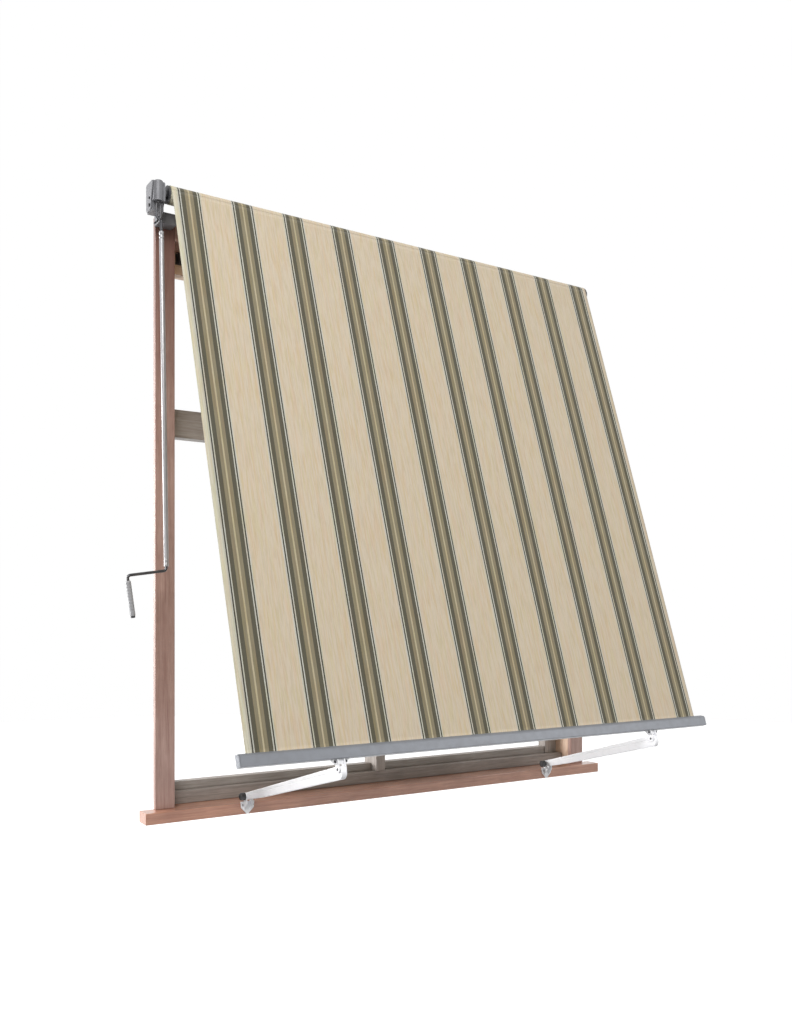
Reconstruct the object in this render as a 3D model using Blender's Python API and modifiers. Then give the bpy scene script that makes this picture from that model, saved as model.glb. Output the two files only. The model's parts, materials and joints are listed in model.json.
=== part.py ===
"""Drop-arm window awning on its timber window frame.

Metres, +Z up. X runs along the window, Y runs into the building, so the awning reaches out towards -Y.
The origin is the middle of the frame's back edge, half way through the thickness of the sill board.
"""
from math import acos, asin, atan2, cos, pi, radians, sin

import bmesh
import bpy
from mathutils import Matrix, Vector

# ---------------------------------------------------------------- driving dimensions
GAP = 0.0003                 # clearance left between pieces that touch

FRAME_WIDTH = 2.000          # over the architraves
FRAME_DEPTH = 0.150          # front of the architraves to the back of the frame
FRAME_HEIGHT = 2.045         # above the sill
SILL_LENGTH = 2.100
SILL_THICK = 0.040
SILL_NOSE = 0.050            # how far the sill runs out in front of the architraves
ARCHITRAVE_WIDTH = 0.070
ARCHITRAVE_THICK = 0.020
LINING_THICK = 0.025
WINDOW_DEPTH = 0.050         # depth of the stiles and rails
STILE_WIDTH = 0.035
MULLION_DEPTH = 0.091
MULLION_LEFT = -0.068
MULLION_RIGHT = -0.026
TRANSOM_LOW = 1.3105         # heights above the sill
TRANSOM_STEP = 1.3600
TRANSOM_HIGH = 1.4120
TOP_RAIL_LOW = 1.896
BOTTOM_RAIL_HIGH = 0.0445
GLAZING_RAIL_HIGH = 0.073

ROLLER_OUT = 0.080           # roller axis in front of the architraves
ROLLER_UP = 2.0935           # roller axis above the sill
TUBE_RADIUS = 0.0255
TUBE_WALL = 0.0016
CLOTH_LEFT = -0.981
CLOTH_RIGHT = 0.913
CLOTH_THICK = 0.0012
ROLL_RADIUS = 0.0315         # over the turns left on the roller

BAR_LEFT = -1.0085
BAR_RIGHT = 0.9594
BAR_HEIGHT = 0.040
BAR_DEPTH = 0.026
BAR_WALL = 0.002
FORK_DROP = 0.031            # bar's lower edge to the fork pins

ARM_LENGTH = 0.693           # pin to pin
ARM_RISE = radians(15.4)     # above level, with the cloth let out
ARM_WIDTH = 0.018
ARM_PIVOT_OUT = 0.062        # in front of the architraves
ARM_PIVOT_UP = 0.026         # above the sill
SILL_PIVOTS = (-0.680, 0.735)
FORK_PIVOTS = (-0.680, 0.662)
PIN_RADIUS = 0.004

GEAR_TEETH = 11              # worm wheel, driven by a worm with one start
WHEEL_PITCH_RADIUS = 0.020
WORM_PITCH_RADIUS = 0.008
CRANK_ROD_LENGTH = 1.114
CRANK_ARM_LENGTH = 0.134
CRANK_ROD_RADIUS = 0.008
WIRE_RADIUS = 0.003

# ---------------------------------------------------------------- places worked out from them
SILL_TOP = SILL_THICK / 2
FACE_Y = -FRAME_DEPTH                        # front of the architraves
HALF_WIDTH = FRAME_WIDTH / 2
OPENING_HALF = HALF_WIDTH - ARCHITRAVE_WIDTH
LINING_HALF = OPENING_HALF + LINING_THICK
FRAME_TOP = SILL_TOP + FRAME_HEIGHT
HEAD_LOW = FRAME_TOP - ARCHITRAVE_WIDTH      # underside of the head
WINDOW_FRONT = -WINDOW_DEPTH

ROLLER = Vector((0, FACE_Y - ROLLER_OUT, SILL_TOP + ROLLER_UP))
ARM_PIVOT = Vector((0, FACE_Y - ARM_PIVOT_OUT, SILL_TOP + ARM_PIVOT_UP))
FORK_PIN = ARM_PIVOT + ARM_LENGTH * Vector((0, -cos(ARM_RISE), sin(ARM_RISE)))
WORM_X = -1.026
WORM_Y = ROLLER.y - WHEEL_PITCH_RADIUS - WORM_PITCH_RADIUS

# The cloth leaves the front of the roll on a tangent that runs straight on through the bar to the fork pins.
TANGENT_RADIUS = ROLL_RADIUS - CLOTH_THICK / 2
TO_PIN = FORK_PIN - ROLLER
CLOTH_LEAN = atan2(-TO_PIN.y, -TO_PIN.z) - asin(TANGENT_RADIUS / TO_PIN.length)
DOWN = Vector((0, -sin(CLOTH_LEAN), -cos(CLOTH_LEAN)))
OUT = Vector((0, -cos(CLOTH_LEAN), sin(CLOTH_LEAN)))
BAR_CENTRE = FORK_PIN - (FORK_DROP + BAR_HEIGHT / 2) * DOWN


# ---------------------------------------------------------------- scene and collections
def clear_scene():
    for obj in list(bpy.data.objects):
        bpy.data.objects.remove(obj, do_unlink=True)


def new_collection(name):
    made = bpy.data.collections.new(name)
    bpy.context.scene.collection.children.link(made)
    return made


clear_scene()
PARTS = new_collection("drop_arm_awning")
CUTTERS = new_collection("cutters")


# ---------------------------------------------------------------- materials
def material(name, colour, roughness, metallic=0.0):
    made = bpy.data.materials.new(name)
    made.use_nodes = True
    shader = made.node_tree.nodes["Principled BSDF"]
    shader.inputs["Base Color"].default_value = (*colour, 1.0)
    shader.inputs["Roughness"].default_value = roughness
    shader.inputs["Metallic"].default_value = metallic
    return made


VARNISHED_WOOD = material("varnished_wood", (0.30, 0.14, 0.08), 0.45)
WINDOW_WOOD = material("window_wood", (0.17, 0.13, 0.10), 0.55)
GREY_CASTING = material("grey_casting", (0.22, 0.23, 0.24), 0.5, 0.6)
DARK_STEEL = material("dark_steel", (0.05, 0.05, 0.055), 0.45, 0.7)
ROD_ALUMINIUM = material("rod_aluminium", (0.60, 0.61, 0.62), 0.35, 0.9)
GRIP_PLASTIC = material("grip_plastic", (0.42, 0.42, 0.42), 0.6)
AWNING_CLOTH = material("awning_cloth", (0.62, 0.52, 0.35), 0.9)
BAR_ALUMINIUM = material("bar_aluminium", (0.30, 0.33, 0.37), 0.4, 0.8)
ARM_WHITE = material("arm_white", (0.80, 0.80, 0.80), 0.35)
BLACK_PLASTIC = material("black_plastic", (0.02, 0.02, 0.02), 0.5)


# ---------------------------------------------------------------- modelling helpers
def finish(obj, name, look, smooth=None):
    """Name a part, give it its material and put it with the parts."""
    obj.name = name
    obj.data.name = name
    obj.data.materials.clear()
    obj.data.materials.append(look)
    for held in list(obj.users_collection):
        held.objects.unlink(obj)
    PARTS.objects.link(obj)
    if smooth is not None:
        obj.data.shade_smooth()
        obj.data.set_sharp_from_angle(angle=radians(smooth))
    return obj


def mesh_object(name, mesh):
    made = bpy.data.objects.new(name, mesh)
    PARTS.objects.link(made)
    return made


def bevel(obj, width, segments=2, angle=40):
    edge = obj.modifiers.new("rounded_edges", "BEVEL")
    edge.width = width
    edge.segments = segments
    edge.limit_method = "ANGLE"
    edge.angle_limit = radians(angle)
    return obj


def box(name, low, high, look, rounding=0.0):
    """A box between two corners, with its own origin at its middle."""
    low, high = Vector(low), Vector(high)
    shape = bmesh.new()
    bmesh.ops.create_cube(shape, size=1.0)
    bmesh.ops.scale(shape, vec=high - low, verts=shape.verts)
    mesh = bpy.data.meshes.new(name)
    shape.to_mesh(mesh)
    shape.free()
    made = finish(mesh_object(name, mesh), name, look)
    made.location = (low + high) / 2
    if rounding:
        bevel(made, rounding)
    return made


def arc(centre, radius, start, end, steps):
    """Points round a centre, angles in degrees."""
    turn = [radians(start + (end - start) * i / steps) for i in range(steps + 1)]
    return [(centre[0] + radius * cos(t), centre[1] + radius * sin(t)) for t in turn]


def full_circle(centre, radius, steps=24):
    return arc(centre, radius, 0, 360, steps)[:-1]


ALONG_X = Matrix(((0, 0, 1), (1, 0, 0), (0, 1, 0))).to_4x4()      # outline drawn in Y and Z
ALONG_Y = Matrix(((1, 0, 0), (0, 0, -1), (0, 1, 0))).to_4x4()     # outline drawn in X and Z
ALONG_Z = Matrix.Identity(4)                                      # outline drawn in X and Y
IN_BAR = Matrix(((0, 0, 1), (OUT.y, DOWN.y, 0), (OUT.z, DOWN.z, 0))).to_4x4()   # drawn in OUT and DOWN


def outline_curve(name, outlines, thickness):
    curve = bpy.data.curves.new(name, "CURVE")
    curve.dimensions = "2D"
    curve.fill_mode = "BOTH"
    curve.extrude = thickness / 2
    for points in outlines:
        spline = curve.splines.new("POLY")
        spline.points.add(len(points) - 1)
        for place, (x, y) in zip(spline.points, points):
            place.co = (x, y, 0, 1)
        spline.use_cyclic_u = True
    made = bpy.data.objects.new(name, curve)
    PARTS.objects.link(made)
    return made


def as_mesh(obj):
    """Turn a curve object into a welded mesh object that stands in the same place."""
    bpy.context.view_layer.update()
    ready = obj.evaluated_get(bpy.context.evaluated_depsgraph_get())
    mesh = bpy.data.meshes.new_from_object(ready)
    shape = bmesh.new()
    shape.from_mesh(mesh)
    bmesh.ops.remove_doubles(shape, verts=shape.verts, dist=0.000001)
    bmesh.ops.recalc_face_normals(shape, faces=shape.faces)
    shape.to_mesh(mesh)
    shape.free()
    made = mesh_object(obj.name, mesh)
    made.matrix_world = obj.matrix_world
    old = obj.data
    bpy.data.objects.remove(obj, do_unlink=True)
    bpy.data.curves.remove(old)
    return made


def plate(name, outlines, middle, thickness, look, lie=ALONG_X):
    """A flat outline, with any holes, drawn in the plane that lie gives and extruded across it."""
    made = as_mesh(outline_curve(name, outlines, thickness))
    made.matrix_world = Matrix.Translation(middle) @ lie
    return finish(made, name, look)


def spin(name, profile, look, steps=24, smooth=35):
    """A solid turned about Z from (radius, height) points that run down its outer side."""
    shape = bmesh.new()
    corners = [shape.verts.new((r, 0, z)) for r, z in profile]
    closed = min(r for r, _ in profile) > 0
    for a, b in zip(corners, corners[1:] + (corners[:1] if closed else [])):
        shape.edges.new((a, b))
    mesh = bpy.data.meshes.new(name)
    shape.to_mesh(mesh)
    shape.free()
    made = finish(mesh_object(name, mesh), name, look)
    turn = made.modifiers.new("turned", "SCREW")
    turn.angle = 2 * pi
    turn.steps = steps
    turn.render_steps = steps
    turn.use_merge_vertices = True
    turn.merge_threshold = 0.00001
    turn.use_smooth_shade = smooth is not None
    return made


def rod(name, points, radius, look, sides=12, cyclic=False):
    """A round wire along points, with filled ends."""
    curve = bpy.data.curves.new(name, "CURVE")
    curve.dimensions = "3D"
    curve.bevel_depth = radius
    curve.bevel_resolution = sides // 4 - 1
    curve.use_fill_caps = not cyclic
    spline = curve.splines.new("POLY")
    spline.points.add(len(points) - 1)
    for place, point in zip(spline.points, points):
        place.co = (*point, 1)
    spline.use_cyclic_u = cyclic
    made = bpy.data.objects.new(name, curve)
    PARTS.objects.link(made)
    return finish(as_mesh(made), name, look, 40)


def combine(obj, other, operation):
    """Join another solid to obj, or cut it away, and keep the other with the cutters."""
    cut = obj.modifiers.new(other.name, "BOOLEAN")
    cut.operation = operation
    cut.solver = "EXACT"
    cut.object = other
    other.name = "tool_" + other.name
    for held in list(other.users_collection):
        held.objects.unlink(other)
    CUTTERS.objects.link(other)
    other.hide_render = True
    other.display_type = "WIRE"
    return obj


def turned_along(made, middle, direction):
    """Lay a turned solid's Z along a direction through a point."""
    facing = Vector(direction).to_track_quat("Z", "Y").to_matrix().to_4x4()
    made.matrix_world = Matrix.Translation(middle) @ facing
    return made


def pin_along_x(name, left, right, middle, radius, look, steps=24):
    """A plain round pin between two X places, through a point."""
    profile = [(0, right - left), (radius, right - left), (radius, 0), (0, 0)]
    return turned_along(spin(name, profile, look, steps), (left, middle[1], middle[2]), (1, 0, 0))


def joint_frame(name, place, turned=Matrix.Identity(4)):
    """An empty on a joint's axis, which carries the pieces that move about it."""
    made = bpy.data.objects.new(name, None)
    made.empty_display_size = 0.05
    made.matrix_world = Matrix.Translation(place) @ turned
    PARTS.objects.link(made)
    return made


def carry(pivot, *pieces):
    """Parent pieces to a joint's empty and leave them where they are."""
    bpy.context.view_layer.update()
    for piece in pieces:
        place = piece.matrix_world.copy()
        piece.parent = pivot
        piece.matrix_parent_inverse = pivot.matrix_world.inverted()
        piece.matrix_world = place


# ---------------------------------------------------------------- timber frame
def build_frame():
    horn_back = FACE_Y + ARCHITRAVE_THICK
    nose = FACE_Y - SILL_NOSE
    half = SILL_LENGTH / 2
    plan = [(-half, nose), (half, nose), (half, horn_back), (LINING_HALF, horn_back), (LINING_HALF, 0),
            (-LINING_HALF, 0), (-LINING_HALF, horn_back), (-half, horn_back)]
    bevel(plate("sill_board", [plan], (0, 0, 0), SILL_THICK, VARNISHED_WOOD, ALONG_Z), 0.002)

    foot = SILL_TOP + GAP
    for side, sign in (("left", -1), ("right", 1)):
        near, far = sorted((sign * OPENING_HALF, sign * LINING_HALF))
        box(f"{side}_lining", (near, horn_back + GAP, foot), (far, 0, HEAD_LOW - GAP), VARNISHED_WOOD)
        near, far = sorted((sign * OPENING_HALF, sign * HALF_WIDTH))
        box(f"{side}_architrave", (near, FACE_Y, foot), (far, horn_back, FRAME_TOP), VARNISHED_WOOD, 0.0015)
    box("head_lining", (-LINING_HALF, horn_back + GAP, HEAD_LOW), (LINING_HALF, 0, HEAD_LOW + LINING_THICK),
        VARNISHED_WOOD)
    inner = OPENING_HALF - GAP
    box("head_architrave", (-inner, FACE_Y, HEAD_LOW), (inner, horn_back, FRAME_TOP), VARNISHED_WOOD, 0.0015)


def build_window():
    inner = OPENING_HALF - GAP
    bottom = SILL_TOP + GAP
    top = HEAD_LOW - GAP
    rail_top = SILL_TOP + BOTTOM_RAIL_HIGH
    box("window_bottom_rail", (-inner, -MULLION_DEPTH, bottom), (inner, 0, rail_top), WINDOW_WOOD, 0.002)
    stile_foot = rail_top + GAP
    stile = inner - STILE_WIDTH
    box("window_left_stile", (-inner, WINDOW_FRONT, stile_foot), (-stile, 0, top), WINDOW_WOOD, 0.001)
    box("window_right_stile", (stile, WINDOW_FRONT, stile_foot), (inner, 0, top), WINDOW_WOOD, 0.001)
    beside = stile - GAP
    sash = beside - STILE_WIDTH
    top_low = SILL_TOP + TOP_RAIL_LOW
    box("right_sash_stile", (sash, WINDOW_FRONT - 0.006, stile_foot), (beside, -0.01, top_low - GAP),
        WINDOW_WOOD, 0.001)
    box("window_top_rail", (-beside, WINDOW_FRONT, top_low), (beside, 0, top), WINDOW_WOOD, 0.001)
    box("window_mullion", (MULLION_LEFT, -MULLION_DEPTH, stile_foot), (MULLION_RIGHT, 0, top_low - GAP),
        WINDOW_WOOD, 0.001)

    low, step, high = (SILL_TOP + h for h in (TRANSOM_LOW, TRANSOM_STEP, TRANSOM_HIGH))
    recess = WINDOW_FRONT + 0.006
    section = [(WINDOW_FRONT, low), (0, low), (0, high), (recess, high), (recess, step), (WINDOW_FRONT, step)]
    glazing_top = SILL_TOP + GLAZING_RAIL_HIGH
    for side, start, end in (("left", -beside, MULLION_LEFT - GAP), ("right", MULLION_RIGHT + GAP, sash - GAP)):
        middle = ((start + end) / 2, 0, 0)
        bevel(plate(f"{side}_transom", [section], middle, end - start, WINDOW_WOOD), 0.001)
        box(f"{side}_glazing_rail", (start, WINDOW_FRONT, stile_foot), (end, -0.01, glazing_top), WINDOW_WOOD, 0.001)

    hinge_x = -0.880
    hinge_z = SILL_TOP + 1.951
    knuckle_y = WINDOW_FRONT - 0.007
    leaf = box("casement_hinge", (hinge_x - 0.012, WINDOW_FRONT - 0.0025, hinge_z - 0.020),
               (hinge_x + 0.012, WINDOW_FRONT - GAP, hinge_z + 0.020), DARK_STEEL)
    barrel = spin("hinge_barrel", [(0, 0.04), (0.006, 0.04), (0.006, 0), (0, 0)], DARK_STEEL, 16)
    barrel.location = (hinge_x, knuckle_y, hinge_z - 0.020)
    combine(leaf, barrel, "UNION")


# ---------------------------------------------------------------- roller, its brackets and the gearbox
def roller_bracket(side, block_left, block_right, cheek_left, cheek_right, hole):
    """A block screwed to the architrave, with a cheek plate that reaches out round the roller axis."""
    block_front = FACE_Y - 0.050
    low, high = SILL_TOP + 2.009, SILL_TOP + 2.046
    made = box(f"{side}_roller_bracket", (block_left, block_front, low), (block_right, FACE_Y - GAP, high),
               GREY_CASTING)
    axis = (ROLLER.y, ROLLER.z)
    cheek_outline = [(FACE_Y - GAP, low), (FACE_Y - GAP, high)] + arc(axis, 0.024, 45, 225, 14)
    cheek_outline += [(block_front, low)]
    cheek = plate("cheek", [cheek_outline], ((cheek_left + cheek_right) / 2, 0, 0), cheek_right - cheek_left,
                  GREY_CASTING)
    combine(made, cheek, "UNION")
    bore = pin_along_x("axle_hole", cheek_left - 0.001, cheek_right + 0.001, ROLLER, hole, GREY_CASTING)
    combine(made, bore, "DIFFERENCE")
    return bevel(made, 0.0008, 1, 60)


def build_brackets():
    roller_bracket("left", -0.9985, -0.943, -1.0035, -0.998, 0.0095)
    roller_bracket("right", 0.9296, 0.985, 0.9265, 0.9300, 0.0045)


GEARBOX_LEFT = -1.0435
GEARBOX_RIGHT = -1.0042
GEARBOX_BACK = FACE_Y - 0.045
SHELF_Z = SILL_TOP + 2.056            # the housing steps back below this height to clear the eye
BOSS_RADIUS = 0.0145


def build_gearbox():
    low, high = SILL_TOP + 2.026, SILL_TOP + 2.123
    lower_front = WORM_Y + 0.0125
    upper_front = WORM_Y - 0.004
    corner = 0.012
    side = [(GEARBOX_BACK, low), (GEARBOX_BACK, high - corner)]
    side += arc((GEARBOX_BACK - corner, high - corner), corner, 0, 90, 4)[1:]
    side += arc((upper_front + corner, high - corner), corner, 90, 180, 4)
    side += [(upper_front, SHELF_Z), (lower_front, SHELF_Z), (lower_front, low)]
    middle = (GEARBOX_LEFT + GEARBOX_RIGHT) / 2
    housing = plate("gearbox_housing", [side[::-1]], (middle, 0, 0), GEARBOX_RIGHT - GEARBOX_LEFT, GREY_CASTING)

    boss_foot = SHELF_Z - 0.002
    boss = spin("worm_boss", [(0, high - 0.002), (BOSS_RADIUS - 0.002, high - 0.002), (BOSS_RADIUS, high - 0.004),
                              (BOSS_RADIUS, boss_foot), (0, boss_foot)], GREY_CASTING, 32)
    boss.location = (WORM_X, WORM_Y, 0)
    combine(housing, boss, "UNION")
    depth = GEARBOX_RIGHT - GEARBOX_LEFT
    room = [(0, depth + 0.001), (0.0095, depth + 0.001), (0.0095, depth - 0.006), (0.0240, depth - 0.006),
            (0.0240, -0.001), (0, -0.001)]
    wheel_room = turned_along(spin("wheel_room", room, GREY_CASTING, 32), (GEARBOX_LEFT, ROLLER.y, ROLLER.z),
                              (1, 0, 0))
    combine(housing, wheel_room, "DIFFERENCE")
    worm_top = ROLLER.z + 0.020
    bore = spin("worm_bore", [(0, worm_top), (0.0115, worm_top), (0.0115, SHELF_Z + 0.007),
                              (0.0066, SHELF_Z + 0.007), (0.0066, boss_foot - 0.001), (0, boss_foot - 0.001)],
                GREY_CASTING, 32)
    bore.location = (WORM_X, WORM_Y, 0)
    combine(housing, bore, "DIFFERENCE")

    cover_side = arc((GEARBOX_BACK - 0.010, high - 0.010), 0.008, 0, 90, 4)
    cover_side += arc((upper_front + 0.010, high - 0.010), 0.008, 90, 180, 4)
    cover_side += [(lower_front + 0.002, low + 0.030)]
    cover_side += arc((lower_front + 0.012, low + 0.012), 0.010, 180, 270, 4)
    cover_side += arc((GEARBOX_BACK - 0.012, low + 0.012), 0.010, 270, 360, 4)
    cover_thick = 0.0045
    cover_middle = GEARBOX_LEFT - GAP - cover_thick / 2
    bevel(plate("gearbox_cover", [cover_side[::-1]], (cover_middle, 0, 0), cover_thick, GREY_CASTING), 0.001)
    face = GEARBOX_LEFT - GAP - cover_thick
    screw_y = lower_front + 0.012
    for name, up, radius in (("gearbox_cover_screw", 0.018, 0.0055), ("gearbox_oil_plug", 0.042, 0.0035)):
        head = [(0, 0.004), (radius * 0.8, 0.004), (radius, 0.003), (radius, 0), (0, 0)]
        turned_along(spin(name, head, DARK_STEEL, 20), (face - GAP, screw_y, low + up), (-1, 0, 0))


def toothed_outline(teeth, tip, root, tip_share, root_share, hole_half):
    """A gear outline round (0, 0) whose first gap is centred on the -Y side of the roller, and its square hole."""
    pitch = 2 * pi / teeth
    points = []
    for i in range(teeth):
        gap_middle = pi + i * pitch
        tooth_middle = gap_middle + pitch / 2
        half_root, half_tip = pitch * root_share / 2, pitch * tip_share / 2
        for angle, radius in ((tooth_middle - half_root, root), (tooth_middle - half_tip, tip),
                              (tooth_middle + half_tip, tip), (tooth_middle + half_root, root)):
            points.append((radius * cos(angle), radius * sin(angle)))
    h = hole_half
    return [points, [(-h, -h), (-h, h), (h, h), (h, -h)]]


def build_gears():
    """The wheel sits on the roller's drive shaft; the worm stands in front of it and ends in the eye."""
    wheel = plate("worm_wheel", toothed_outline(GEAR_TEETH, 0.0218, 0.0172, 0.24, 0.52, 0.0058),
                  (WORM_X, ROLLER.y, ROLLER.z), 0.008, GREY_CASTING)

    lead = 2 * pi * WHEEL_PITCH_RADIUS / GEAR_TEETH
    turns, per_turn = 2.44, 16
    count = int(turns * per_turn)
    thread = bmesh.new()
    rings = []
    for i in range(count + 1):
        angle = pi / 2 + 2 * pi * (i / per_turn - turns / 2)
        height = lead * (i / per_turn - turns / 2)
        ring = []
        for radius, offset in ((0.0046, -0.0026), (0.0100, -0.0012), (0.0100, 0.0012), (0.0046, 0.0026)):
            ring.append(thread.verts.new((radius * cos(angle), radius * sin(angle), height + offset)))
        rings.append(ring)
    for a, b in zip(rings, rings[1:]):
        for j in range(4):
            k = (j + 1) % 4
            thread.faces.new((a[j], a[k], b[k], b[j]))
    thread.faces.new(rings[0][::-1])
    thread.faces.new(rings[-1])
    bmesh.ops.recalc_face_normals(thread, faces=thread.faces)
    mesh = bpy.data.meshes.new("worm_thread")
    thread.to_mesh(mesh)
    thread.free()
    thread_part = finish(mesh_object("worm_thread", mesh), "worm_thread", DARK_STEEL)
    thread_part.location = (WORM_X, WORM_Y, ROLLER.z)

    top = ROLLER.z + 0.0188
    shaft_foot = EYE_TOP + 0.0005
    worm = spin("worm_eye", [(0, top), (0.0055, top), (0.0055, SHELF_Z + 0.012), (0.0095, SHELF_Z + 0.011),
                             (0.0095, SHELF_Z + 0.008), (0.0058, SHELF_Z + 0.007), (0.0058, shaft_foot),
                             (0, shaft_foot)], DARK_STEEL, 24)
    worm.location = (WORM_X, WORM_Y, 0)
    combine(worm, thread_part, "UNION")

    half = EYE_HALF_WIDTH
    eye_points = [(WORM_X + x, WORM_Y, z) for x, z in
                  arc((0, EYE_TOP - half), half, 0, 180, 10) + arc((0, EYE_BOTTOM + half), half, 180, 360, 10)]
    eye = rod("eye_loop", eye_points, WIRE_RADIUS, DARK_STEEL, cyclic=True)
    combine(worm, eye, "UNION")
    carry(joint_frame("worm_axis", (WORM_X, WORM_Y, EYE_BOTTOM)), worm)
    return wheel


EYE_HALF_WIDTH = 0.0075
EYE_TOP = SHELF_Z - 0.009             # centre line of the loop's wire
EYE_BOTTOM = SILL_TOP + 1.993


def build_roller():
    tube_left, tube_right = CLOTH_LEFT - 0.004, CLOTH_RIGHT + 0.004
    length = tube_right - tube_left
    inner = TUBE_RADIUS - TUBE_WALL
    wall = [(inner, length), (TUBE_RADIUS, length), (TUBE_RADIUS, 0), (inner, 0)]
    tube = turned_along(spin("roller_tube", wall, GREY_CASTING, 32), (tube_left, ROLLER.y, ROLLER.z), (1, 0, 0))

    plug = inner - GAP
    rim = 0.0300
    left = [(0, 0.025), (plug, 0.025), (plug, 0), (rim, -GAP), (rim, -0.0045), (0.014, -0.0045), (0.014, -0.0110),
            (0, -0.0110)]
    left_cap = turned_along(spin("left_roller_cap", left, DARK_STEEL, 32),
                            (tube_left - GAP, ROLLER.y, ROLLER.z), (1, 0, 0))
    shaft_left = WORM_X - 0.008
    shaft = box("drive_shaft", (shaft_left, ROLLER.y - 0.0055, ROLLER.z - 0.0055),
                (tube_left - 0.005, ROLLER.y + 0.0055, ROLLER.z + 0.0055), DARK_STEEL)
    combine(left_cap, shaft, "UNION")
    right = [(0, 0.025), (plug, 0.025), (plug, 0), (rim, -GAP), (rim, -0.0040), (0.010, -0.0040), (0.010, -0.0065),
             (0.004, -0.0065), (0.004, -0.0135), (0, -0.0135)]
    right_cap = turned_along(spin("right_roller_cap", right, DARK_STEEL, 32),
                             (tube_right + GAP, ROLLER.y, ROLLER.z), (-1, 0, 0))
    return tube, left_cap, right_cap


# ---------------------------------------------------------------- cloth and front bar
SLOT_DEPTH = 0.0042                   # how far the cloth reaches into the bar's mouth


def build_cloth():
    """The turns on the roller and the flat panel, drawn in Y and Z round the roller axis as one outline."""
    reach = (BAR_CENTRE - ROLLER).dot(DOWN) - BAR_HEIGHT / 2 + SLOT_DEPTH
    inner_edge = ROLL_RADIUS - CLOTH_THICK

    def place(out, down):
        return (OUT.y * out + DOWN.y * down, OUT.z * out + DOWN.z * down)

    turn = 2 * pi - acos(inner_edge / ROLL_RADIUS)
    steps = 40
    angles = [turn * i / steps for i in range(steps + 1)]
    roll = [place(ROLL_RADIUS * cos(t), -ROLL_RADIUS * sin(t)) for t in angles]
    outer = [place(ROLL_RADIUS, reach)] + roll + [place(inner_edge, reach)]
    hole = full_circle((0, 0), TUBE_RADIUS + GAP, 32)
    middle = ((CLOTH_LEFT + CLOTH_RIGHT) / 2, ROLLER.y, ROLLER.z)
    cloth = plate("awning_cloth", [outer, hole], middle, CLOTH_RIGHT - CLOTH_LEFT, AWNING_CLOTH)
    carry(joint_frame("cloth_axis", ROLLER), cloth)
    return cloth


def build_bar():
    """An extruded bar with a bulged front, a round groove for the hem rod and a hollow below it.

    Drawn with x outwards and y down the cloth's line from the middle of the bar.
    """
    half_h, half_d = BAR_HEIGHT / 2, BAR_DEPTH / 2
    groove, mouth = 0.0042, 0.0014
    groove_y = -half_h + 0.0075
    mouth_angle = 15
    outer = [(half_d - 0.011, -half_h)] + arc((half_d - 0.011, -half_h + 0.013), 0.011, -80, -5, 5)
    outer += [(half_d, half_h - 0.003)] + arc((half_d - 0.003, half_h - 0.003), 0.003, 0, 90, 3)
    outer += arc((-half_d + 0.003, half_h - 0.003), 0.003, 90, 180, 3)
    outer += arc((-half_d + 0.003, -half_h + 0.003), 0.003, 180, 270, 3)
    outer += [(-mouth, -half_h)] + arc((0, groove_y), groove, -90 - mouth_angle, -450 + mouth_angle, 14)
    outer += [(mouth, -half_h)]
    inner_top = groove_y + groove + BAR_WALL
    hollow = [(-half_d + BAR_WALL, inner_top), (-half_d + BAR_WALL, half_h - BAR_WALL),
              (half_d - BAR_WALL, half_h - BAR_WALL), (half_d - BAR_WALL, inner_top)]
    cap_thick = 0.004
    start, end = BAR_LEFT + cap_thick + GAP, BAR_RIGHT - cap_thick - GAP
    bar = plate("front_bar", [outer, hollow], ((start + end) / 2, BAR_CENTRE.y, BAR_CENTRE.z), end - start,
                BAR_ALUMINIUM, IN_BAR)
    face = [p for p in outer if not (abs(p[0]) < 0.0045 and p[1] < groove_y + groove + 0.001)]
    pieces = [bar]
    for side, middle in (("left", BAR_LEFT + cap_thick / 2), ("right", BAR_RIGHT - cap_thick / 2)):
        cap = plate(f"{side}_bar_cap", [face], (middle, BAR_CENTRE.y, BAR_CENTRE.z), cap_thick, BAR_ALUMINIUM, IN_BAR)
        pieces.append(bevel(cap, 0.0008, 1))
    hem = BAR_CENTRE + groove_y * DOWN
    pieces.append(pin_along_x("hem_rod", CLOTH_LEFT, CLOTH_RIGHT, hem, 0.0030, BLACK_PLASTIC, 12))
    return pieces


# ---------------------------------------------------------------- arms
def arm_outline():
    """The side of an arm, with x along it from the sill pin to the fork pin and y across it, upwards."""
    knuckle, lug, end = 0.0125, 0.0105, ARM_LENGTH + 0.015
    outline = arc((0, 0), knuckle, 250, 75, 9)
    outline += [(0.050, 0.0215), (ARM_LENGTH - 0.030, -0.0065)]
    outline += arc((ARM_LENGTH, 0), lug, 120, 0, 5)
    outline += [(end - 0.001, -0.012)] + arc((end - 0.008, -0.042), 0.008, 0, -90, 3)
    outline += [(ARM_LENGTH - 0.030, -0.0490), (0.050, -0.0070)]
    return outline[::-1]


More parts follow.
